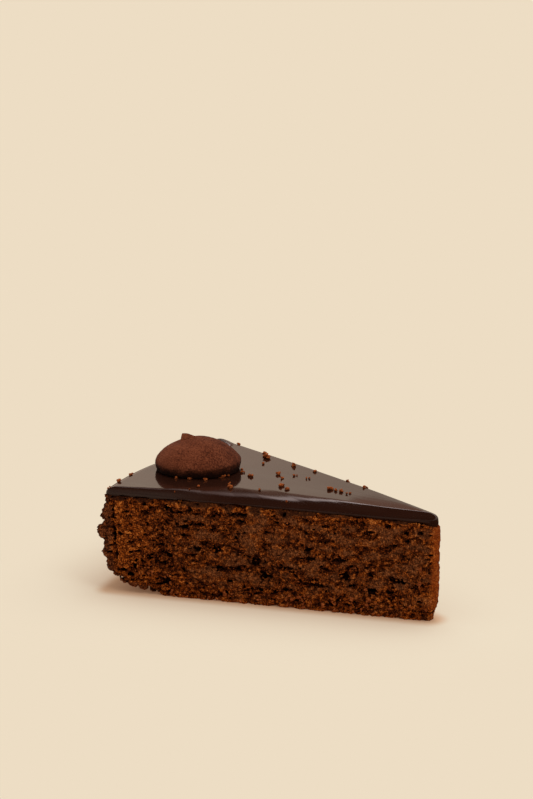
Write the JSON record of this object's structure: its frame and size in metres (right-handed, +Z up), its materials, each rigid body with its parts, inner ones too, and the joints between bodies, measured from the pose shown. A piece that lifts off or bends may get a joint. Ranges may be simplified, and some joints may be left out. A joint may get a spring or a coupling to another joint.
{
  "type": "slice of chocolate cake",
  "caption": "Wedge of dense dark chocolate sponge under a glossy chocolate glaze, with a cocoa-dusted piped truffle on its rim end.",
  "frame": {"origin": "on the surface it rests on, under the middle of its bounding box", "axes": "+X along the slice's middle line towards its tip, +Y towards the crisper cut face, +Z up"},
  "size_m": [0.1176, 0.0754, 0.0496],
  "materials": {
    "sponge": "dry, open chocolate crumb with small hollows, crumbs and a darker baked rim",
    "glaze": "smooth glossy dark chocolate glaze",
    "cocoa": "velvety dusting of cocoa powder over ganache"
  },
  "bodies": {
    "root": {"sponge": "sponge", "glaze": "glaze", "truffle": "cocoa"}
  },
  "joints": []
}
